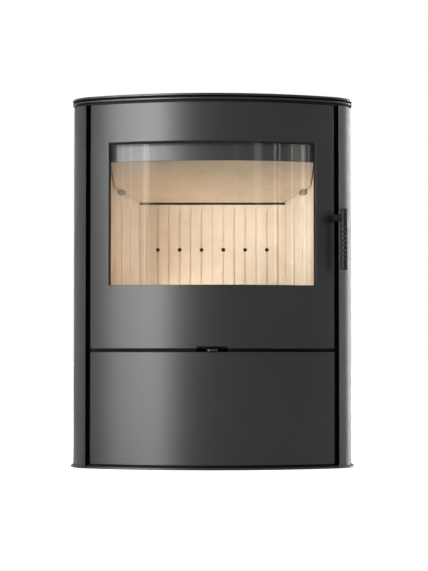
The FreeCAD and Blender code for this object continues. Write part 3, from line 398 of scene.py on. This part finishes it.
# The pane is clear, with the faintest unevenness in its polish, and lets the lamps shine through.
clearGlass = {
    "plain": {"Base Color": (0.97, 0.98, 0.97, 1), "Metallic": 0.0,
              "Transmission Weight": 1.0, "IOR": 1.47},
    "film": {"Grain Scale": 60, "Cloud Scale": 7, "Cloud Share": 0.8},
    "rough": (0.0, 0.02),
}
tree, shader = newFinish("window_glass", clearGlass["plain"])
film = placeGroup(tree, groups["grain"], clearGlass["film"])
feedRoughness(tree, shader, film.outputs["Mask"], *clearGlass["rough"])
shadowRay = tree.nodes.new("ShaderNodeLightPath").outputs["Is Shadow Ray"]
clear = tree.nodes.new("ShaderNodeBsdfTransparent")
looks = (shader.outputs["BSDF"], clear.outputs["BSDF"])
chooseShader(tree, shadowRay, *looks, tree.nodes["Material Output"])
print("finishes:", ", ".join(finishes))

# Nodes whose CAD shape is already right keep it and only take the finish of their slot.
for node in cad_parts.values():
    for place in node.material_slots:
        place.material = finishes.get(place.material.name.split(".")[0], place.material)

# Both doors are one thick sheet rolled to the front circle.
doors = {"sheet": 0.004, "edge": 0.0011, "windowHalf": 0.222, "windowLow": 0.392, "windowHigh": 0.698,
         "notchHalf": 0.0325, "notchDepth": 0.004}


def makeFireDoor():
    half, low, high = doorHigh.x, doorLow.z, doorHigh.z
    window, notch = doors["windowHalf"], doors["notchHalf"]
    notchTop = low + doors["notchDepth"]
    points, quads = curvedSheet(
        plan["frontRadius"],
        [-half, -window, -notch, notch, window, half],
        [low, notchTop, doors["windowLow"], doors["windowHigh"], high],
        [(-window, window, doors["windowLow"], doors["windowHigh"]), (-notch, notch, low, notchTop)],
    )
    sheet = newPiece("fireDoorSheet", points, quads, "fire_door", "stove_paint", ["fire_door_panel"])
    thicken(sheet, doors["sheet"])
    soften(sheet, doors["edge"])


def makeLowerDoor():
    low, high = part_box("lower_door_panel")
    points, quads = curvedSheet(plan["frontRadius"], [low.x, high.x], [low.z, high.z])
    sheet = newPiece("lowerDoorSheet", points, quads, "lower_door", "stove_paint", ["lower_door_panel"])
    thicken(sheet, doors["sheet"])
    soften(sheet, doors["edge"])


makeFireDoor()
makeLowerDoor()
print("doors done")

# Side panels are folded sheet: a lip beside the door, a round corner, the flat side and a rear flange.
sides = {"sheet": 0.003, "edge": 0.0006, "lipRadius": 0.570}


def pieceName(nodeName):
    words = nodeName.split("_")
    return words[0] + "".join(word.capitalize() for word in words[1:])


def makeSidePanel(nodeName, side):
    low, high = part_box(nodeName)
    inner, outer = min(abs(low.x), abs(high.x)), max(abs(low.x), abs(high.x))
    cornerX, cornerY, _ = frontCorner()
    start = math.asin((inner - cornerX) / plan["cornerRadius"])
    lip = np.array([[inner, arcY(inner, sides["lipRadius"])]])
    corner = arc(cornerX, cornerY, plan["cornerRadius"], start, math.pi / 2, plan["cornerSteps"])
    rear = np.array([[outer, high.y], [inner, high.y]])
    path = np.vstack([lip, corner, rear])
    path[:, 0] *= side
    path = path[::side]  # reversed where mirrored, so the faces still point outwards
    heights = gridLines([low.z, high.z], plan["longStep"])
    points = np.column_stack([np.tile(path, (len(heights), 1)), np.repeat(heights, len(path))])
    quads = gridQuads(len(heights), len(path))
    panel = newPiece(pieceName(nodeName), points, quads, "stove_body", "stove_paint", [nodeName])
    thicken(panel, sides["sheet"])
    soften(panel, sides["edge"])


makeSidePanel("side_panel_right", 1)
makeSidePanel("side_panel_left", -1)

# Plates are the plan outline grown or shrunk; how far is read from the node's own width.
plates = {
    "base_plate": {"edge": 0.0010, "slot": "stove_paint"},
    "top_support": {"edge": 0.0005, "slot": "black_paint"},
    "top_plate_lower": {"edge": 0.0012, "slot": "stove_paint"},
    "top_spacer": {"edge": 0.0005, "slot": "black_paint"},
    "top_plate_upper": {"edge": 0.0015, "slot": "stove_paint"},
}
plateSegments = 3


def planOutline(grow):
    # front arc, round front corners, straight sides and rear, all pushed outwards by the same amount
    _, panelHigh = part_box("side_panel_right")
    cornerX, cornerY, meet = frontCorner()
    wide = plan["frontRadius"] + grow
    count = math.ceil(2 * meet * wide / plan["arcStep"])
    front = arc(0, axisY, wide, -meet, meet, count)
    tight = plan["cornerRadius"] + grow
    corner = arc(cornerX, cornerY, tight, meet, math.pi / 2, plan["cornerSteps"])[1:]
    rear = np.array([[panelHigh.x + grow, panelHigh.y + grow]])
    right = np.vstack([corner, rear])
    left = (right * [-1, 1])[::-1]
    return np.vstack([front, right, left])


def raisedOutline(outline, low, high):
    # the outline at two heights, with a wall between them and a cap on each
    count = len(outline)
    points = np.column_stack([np.tile(outline, (2, 1)), np.repeat([low, high], count)])
    caps = [np.arange(count)[::-1], np.arange(count, 2 * count)]
    return points, list(gridQuads(2, count, wrapColumns=True)) + caps


def makePlate(nodeName, look):
    low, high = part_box(nodeName)
    _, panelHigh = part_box("side_panel_right")
    points, faces = raisedOutline(planOutline(high.x - panelHigh.x), low.z, high.z)
    plate = newPiece(pieceName(nodeName), points, faces, "stove_body", look["slot"], [nodeName])
    soften(plate, look["edge"], plateSegments)


for nodeName, look in plates.items():
    makePlate(nodeName, look)
print("casing done")

# The pane and the flat tape that it beds on.
pane = {"thick": 0.004, "edge": 0.0008, "tape": 0.002, "tapeShows": 0.0035}


def makePane():
    low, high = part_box("glass")
    radius = axisY - low.y
    points, quads = curvedSheet(radius, [low.x, high.x], [low.z, high.z])
    glass = newPiece("windowPane", points, quads, "fire_door", "window_glass", ["glass"])
    thicken(glass, pane["thick"])
    soften(glass, pane["edge"])
    low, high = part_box("glass_gasket")
    window = doors["windowHalf"] - pane["tapeShows"]
    windowHigh = doors["windowHigh"] - pane["tapeShows"]
    points, quads = curvedSheet(
        axisY - low.y,
        [low.x, -window, window, high.x],
        [low.z, doors["windowLow"], windowHigh, high.z],
        [(-window, window, doors["windowLow"], windowHigh)],
    )
    tape = newPiece("paneTape", points, quads, "fire_door", "rope_seal", ["glass_gasket"])
    thicken(tape, pane["tape"])
    return glass


windowPane = makePane()

# A braided rope lies in the door frame: strands wind both ways round a tube on a rounded rectangle.
rope = {"thick": 0.0096, "band": 0.010, "bend": 0.014, "bendSteps": 12, "step": 0.0016, "round": 20,
        "strands": 6, "pitch": 0.016, "strandHeight": 0.0005}


def ropeRoute(halfWidth, low, high, bend):
    # rounded rectangle in x and z, counted along its length and closed
    turn = np.linspace(0, math.pi / 2, rope["bendSteps"])
    corners = [(halfWidth, high), (-halfWidth, high), (-halfWidth, low), (halfWidth, low)]
    runs = []
    for quarter, (x, z) in enumerate(corners):
        angle = turn + quarter * math.pi / 2
        runs.append(np.column_stack([x - math.copysign(bend, x) + bend * np.cos(angle),
                                     z - bend * (1 if z == high else -1) + bend * np.sin(angle)]))
    loop = np.vstack(runs + [runs[0][:1]])
    length = np.concatenate([[0], np.cumsum(np.linalg.norm(np.diff(loop, axis=0), axis=1))])
    count = int(length[-1] / rope["step"])
    along = np.linspace(0, length[-1], count, endpoint=False)
    route = np.column_stack([np.interp(along, length, values) for values in loop.T])
    return route, along


def makeRope():
    low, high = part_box("door_seal")
    radius = rope["thick"] / 2
    edge = rope["band"] / 2
    route, along = ropeRoute(high.x - edge, low.z + edge, high.z - edge, rope["bend"])
    seatRadius = axisY - low.y - radius
    centre = np.column_stack([route[:, 0], arcY(route[:, 0], seatRadius), route[:, 1]])
    tangent = np.roll(centre, -1, axis=0) - np.roll(centre, 1, axis=0)
    tangent /= np.linalg.norm(tangent, axis=1, keepdims=True)
    outward = np.column_stack([centre[:, 0], centre[:, 1] - axisY, np.zeros(len(centre))]) / seatRadius
    across = np.cross(tangent, outward)
    angle = np.linspace(0, 2 * math.pi, rope["round"], endpoint=False)
    turns = round(along[-1] / rope["pitch"]) * 2 * math.pi * np.arange(len(along)) / len(along)
    strands = rope["strands"] / 2 * angle
    braid = np.cos(strands + turns[:, None]) * np.cos(strands - turns[:, None])
    skin = radius - rope["strandHeight"] * (1 - braid) / 2
    points = (centre[:, None, :]
              + (skin * np.cos(angle))[..., None] * outward[:, None, :]
              + (skin * np.sin(angle))[..., None] * across[:, None, :])
    quads = gridQuads(*skin.shape, wrapColumns=True, wrapRows=True)
    newPiece("doorRope", points.reshape(-1, 3), quads, "fire_door", "rope_seal", ["door_seal"])


makeRope()
print("pane and seals done")

# The handle is a turned bar with a dimpled grip: staggered columns of round dimples sunk into its skin.
handle = {"end": 0.0010, "endSteps": 5, "edge": 0.00025, "core": 0.005, "round": 96, "gripStep": 0.0005,
          "columns": 8, "firstColumn": 0.5, "rowPitch": 0.0101, "stagger": 0.5,
          "dimple": 0.0026, "depth": 0.0023}


def ringPoints(x, y, radius, height, angle):
    # rings round an upright axis, one to a height, whose radius may change along the bar and round it
    radius = np.broadcast_to(radius, (len(height), len(angle)))
    return np.stack([
        x + radius * np.cos(angle),
        y + radius * np.sin(angle),
        np.broadcast_to(height[:, None], radius.shape),
    ], axis=-1).reshape(-1, 3)


def turnedBar(x, y, profile, angle):
    # a profile of radius and height pairs turned about an upright axis, with its two end rings capped
    radius, height = profile.T
    count = len(angle)
    points = ringPoints(x, y, radius[:, None], height, angle)
    last = (len(height) - 1) * count
    caps = [np.arange(count)[::-1], last + np.arange(count)]
    return points, list(gridQuads(len(height), count, wrapColumns=True)) + caps


def dimpleDepth(angle, height, radius):
    # how deep the skin is sunk: a smooth bowl round the nearest dimple of the staggered pattern
    column = angle / (2 * math.pi / handle["columns"]) + handle["firstColumn"]
    nearest = np.round(column)
    sideways = (column - nearest) * 2 * math.pi * radius / handle["columns"]
    row = height / handle["rowPitch"] + handle["stagger"] * (nearest % 2)
    upwards = (row - np.round(row)) * handle["rowPitch"]
    inside = np.clip(1 - (sideways**2 + upwards**2) / handle["dimple"] ** 2, 0, None)
    return handle["depth"] * np.sqrt(inside)


def makeHandle():
    low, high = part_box("handle_bar")
    gripLow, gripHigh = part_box("handle_grip")
    x, y = (gripLow.x + gripHigh.x) / 2, (gripLow.y + gripHigh.y) / 2
    radius, end, core = (gripHigh.x - gripLow.x) / 2, handle["end"], handle["core"]
    angle = np.linspace(0, 2 * math.pi, handle["round"], endpoint=False)
    turn = np.linspace(0, math.pi / 2, handle["endSteps"])
    foot = np.column_stack([radius - end + end * np.sin(turn), low.z + end - end * np.cos(turn)])
    crown = np.column_stack([radius - end + end * np.cos(turn), high.z - end + end * np.sin(turn)])
    waist = np.array([[radius, gripLow.z], [core, gripLow.z], [core, gripHigh.z], [radius, gripHigh.z]])
    points, faces = turnedBar(x, y, np.vstack([foot, waist, crown]), angle)
    bar = newPiece("handleBar", points, faces, "door_handle", "handle_black", ["handle_bar"])
    soften(bar, handle["edge"])
    # the grip is a sleeve: its dimpled skin, with a ring on the core at either end
    height = gridLines([gripLow.z, gripHigh.z], handle["gripStep"])
    middle = (gripLow.z + gripHigh.z) / 2
    depth = dimpleDepth(angle[None, :], height[:, None] - middle, radius)
    depth[[0, -1]] = 0
    ends = ((1, 1), (0, 0))
    skin = np.pad(radius - depth, ends, constant_values=core)
    points = ringPoints(x, y, skin, np.pad(height, 1, mode="edge"), angle)
    quads = gridQuads(*skin.shape, wrapColumns=True, wrapRows=True)
    grip = newPiece("handleGrip", points, quads, "door_handle", "handle_black", ["handle_grip"])
    sunk = np.pad(depth / handle["depth"], ends)
    grip.data.attributes.new("sunk", "FLOAT", "POINT").data.foreach_set("value", sunk.ravel())


makeHandle()
print("handle done")

# The air lever is a flat bar with round front corners.
lever = {"corner": 0.007, "cornerSteps": 10, "edge": 0.0006}


def makeLever():
    # two quarter circles at the front and a straight rear, raised from the bar's underside to its top
    low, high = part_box("air_lever")
    radius = lever["corner"]
    right = arc(high.x - radius, low.y + radius, radius, 0, math.pi / 2, lever["cornerSteps"])
    left = arc(low.x + radius, low.y + radius, radius, -math.pi / 2, 0, lever["cornerSteps"])
    outline = np.vstack([left, right, [[high.x, high.y], [low.x, high.y]]])
    points, faces = raisedOutline(outline, low.z, high.z)
    bar = newPiece("leverBar", points, faces, "air_control", "stove_paint", ["air_lever"])
    soften(bar, lever["edge"])


makeLever()
print("lever done")

# A plain pale floor, and a white studio that lights the stove less than it shows.
studio = {"floorHalf": 40.0, "floorTone": 0.80, "floorRough": 0.9, "floorGlow": 1.0, "surround": 0.25}


def makeFloor():
    half = studio["floorHalf"]
    corners = np.array([[-half, -half, 0], [half, -half, 0], [half, half, 0], [-half, half, 0]])
    mesh = bpy.data.meshes.new("floor")
    mesh.from_pydata(corners.tolist(), [], [[0, 1, 2, 3]])
    floor = bpy.data.objects.new("floor", mesh)
    scene.collection.objects.link(floor)
    for kind in ("diffuse", "glossy", "transmission", "shadow"):
        setattr(floor, f"visible_{kind}", False)  # the floor shows but sends no light back
    material = bpy.data.materials.new("floor_white")
    material.use_nodes = True
    shader = material.node_tree.nodes["Principled BSDF"]
    tone = studio["floorTone"]
    shader.inputs["Base Color"].default_value = (tone, tone, tone, 1)
    shader.inputs["Roughness"].default_value = studio["floorRough"]
    shader.inputs["Emission Color"].default_value = (1, 1, 1, 1)
    shader.inputs["Emission Strength"].default_value = studio["floorGlow"]
    mesh.materials.append(material)


def makeSurround():
    # the camera sees it white, also through the pane while no surface has turned the ray back
    world = bpy.data.worlds.new("studio")
    scene.world = world
    world.use_nodes = True
    tree = world.node_tree
    shown = tree.nodes["Background"]
    shown.inputs["Color"].default_value = (1, 1, 1, 1)
    lighting = tree.nodes.new("ShaderNodeBackground")
    lighting.inputs["Color"].default_value = (1, 1, 1, 1)
    lighting.inputs["Strength"].default_value = studio["surround"]
    ray = tree.nodes.new("ShaderNodeLightPath").outputs
    turns = calculate(tree, "ADD", ray["Diffuse Depth"], ray["Glossy Depth"])
    straight = calculate(tree, "LESS_THAN", turns, 0.5)
    throughPane = calculate(tree, "MULTIPLY", ray["Is Transmission Ray"], straight)
    seen = calculate(tree, "MAXIMUM", ray["Is Camera Ray"], throughPane)
    looks = (lighting.outputs["Background"], shown.outputs["Background"])
    chooseShader(tree, seen, *looks, tree.nodes["World Output"])


makeFloor()
makeSurround()

# Tall soft boxes stand round the stove; each has a bearing from straight ahead, positive to the right.
keyLight = {
    "distance": 2.6,
    "columns": [(-24.5, 0.32, 7.4), (-32.5, 0.36, 3.7), (-42, 0.46, 4.2)],  # bearing, width, radiance
    "rows": [(1.2, 0.9, 1.0), (0.2, 1.1, 0.62)],  # height, length, share of the radiance
}
softBoxes = {
    "left": {"bearing": -100, "distance": 2.4, "height": 0.6, "size": (2.0, 3.2), "radiance": 0.5},
    "leftRear": {"bearing": -150, "distance": 2.4, "height": 0.6, "size": (2.0, 3.2), "radiance": 0.6},
    "right": {"bearing": 82, "distance": 2.4, "height": 0.8, "size": (1.4, 2.2), "radiance": 0.6},
    "rightRear": {"bearing": 129, "distance": 2.4, "height": 0.8, "size": (1.75, 2.2), "radiance": 2.6},
}
# Tubes further off give the pane alone its upright streaks: each has a bearing, a width and a radiance.
tubes = {
    "height": 0.9, "long": 2.4, "tint": (1.0, 0.95, 0.89),
    "feather": [(3.0, 0.8, 0.7), (3.1, 1.4, 0.3)],  # distance, share of the width, share of the radiance
    "streaks": [
        (-37.7, 0.92, 2.3), (-41.2, 0.05, 1.4), (-37.6, 0.05, 1.8), (-30.3, 0.15, 3.2),
        (10.8, 0.03, 0.8), (20.8, 0.19, 1.4), (28.7, 0.05, 2.4), (31.0, 0.03, 2.4),
        (36.6, 0.04, 2.8), (40.0, 0.42, 1.3), (42.0, 0.09, 3.2), (44.7, 0.03, 2.4),
    ],
}


def lampReach(name, pieces, state):
    # a list of the pieces that a lamp reaches, or of those that it leaves out
    reached = bpy.data.collections.new(name)
    for number, piece in enumerate(pieces):
        reached.objects.link(piece)
        reached.collection_objects[number].light_linking.link_state = state
    return reached


bricks = {name: node for name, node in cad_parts.items() if "brick" in name}
backBricks = [node for name, node in bricks.items() if "back" in name]
otherBricks = [node for name, node in bricks.items() if "back" not in name]
lampLists = {
    "pane": lampReach("onPane", [windowPane], "INCLUDE"),
    "rest": lampReach("offPane", [windowPane], "EXCLUDE"),
    "backBricks": lampReach("onBackBricks", backBricks, "INCLUDE"),
    "otherBricks": lampReach("onOtherBricks", otherBricks, "INCLUDE"),
}


def addPanel(name, reach, place, target, size, radiance, tint=(1, 1, 1), shadow=True):
    # an area lamp whose power gives the wanted radiance over its size
    data = bpy.data.lights.new(name, "AREA")
    data.shape = "RECTANGLE"
    data.size, data.size_y = size
    data.energy = radiance * math.pi * size[0] * size[1]
    data.color = tint
    data.cycles.use_multiple_importance_sampling = reach == "pane"  # which is nearly a mirror
    data.use_shadow = shadow
    lamp = bpy.data.objects.new(name, data)
    lamp.location = place
    lamp.rotation_euler = (Vector(target) - lamp.location).to_track_quat("-Z", "Y").to_euler()
    lamp.visible_camera = False
    lamp.visible_transmission = False
    lamp.light_linking.receiver_collection = lampLists[reach]
    scene.collection.objects.link(lamp)


def standingPlace(bearing, distance, height):
    angle = math.radians(bearing)
    return distance * math.sin(angle), -distance * math.cos(angle), height


stoveMiddle = (cadBox[0] + cadBox[1]) / 2
for name, box in softBoxes.items():
    place = standingPlace(box["bearing"], box["distance"], box["height"])
    addPanel(name, "rest", place, stoveMiddle, box["size"], box["radiance"])
for bearing, width, radiance in keyLight["columns"]:
    for height, length, share in keyLight["rows"]:
        place = standingPlace(bearing, keyLight["distance"], height)
        addPanel("key", "rest", place, (0, 0, height), (width, length), radiance * share)
for number, (bearing, width, radiance) in enumerate(tubes["streaks"]):
    for layer, (distance, widthShare, share) in enumerate(tubes["feather"]):
        place = standingPlace(bearing, distance, tubes["height"])
        target = (0, 0, tubes["height"])
        size = (width * widthShare, tubes["long"])
        name = f"streak{number}.{layer}"
        addPanel(name, "pane", place, target, size, radiance * share, tubes["tint"])

# Warm lamps inside show the lining: one below the baffle, a redder one to the left and paler ones
# for the bricks alone. The one without shadows keeps the grooves at the back faint.
brickLamp = {"target": (0.065, 0.10, 0.58), "size": (0.28, 0.10), "tint": (1.0, 0.965, 0.94)}
hearthLamps = {
    "lowWarm": {"place": (0.02, 0.02, 0.37), "target": (0.03, 0.04, 0.70), "size": (0.30, 0.08),
                "radiance": 3.0, "tint": (1.0, 0.925, 0.865), "reach": "rest"},
    "leftWarm": {"place": (-0.09, -0.10, 0.47), "target": (-0.11, 0.10, 0.46), "size": (0.18, 0.16),
                 "radiance": 0.9, "tint": (1.0, 0.58, 0.22), "reach": "rest"},
    "otherWarm": {**brickLamp, "place": (0.065, -0.06, 0.54), "radiance": 2.1, "reach": "otherBricks"},
    "backWarm": {**brickLamp, "place": (0.065, -0.06, 0.54), "radiance": 0.9, "reach": "backBricks"},
    "grooveWarm": {**brickLamp, "place": (0.065, -0.07, 0.54), "radiance": 1.35, "reach": "backBricks",
                   "shadow": False},
}
for name, lamp in hearthLamps.items():
    addPanel(name, **lamp)
print("studio done")

# The camera stands low in front and looks up a little.
view = {"place": (0.0037, -3.870, 0.243), "tilt": 2.294, "lens": 109.39, "sensor": 36}
cameraData = bpy.data.cameras.new("camera")
cameraData.sensor_fit = "AUTO"
cameraData.sensor_width = view["sensor"]
cameraData.lens = view["lens"]
camera = bpy.data.objects.new("camera", cameraData)
camera.location = view["place"]
camera.rotation_euler = (math.radians(90 + view["tilt"]), 0, 0)
scene.collection.objects.link(camera)
scene.camera = camera
scene.view_settings.view_transform = "Standard"
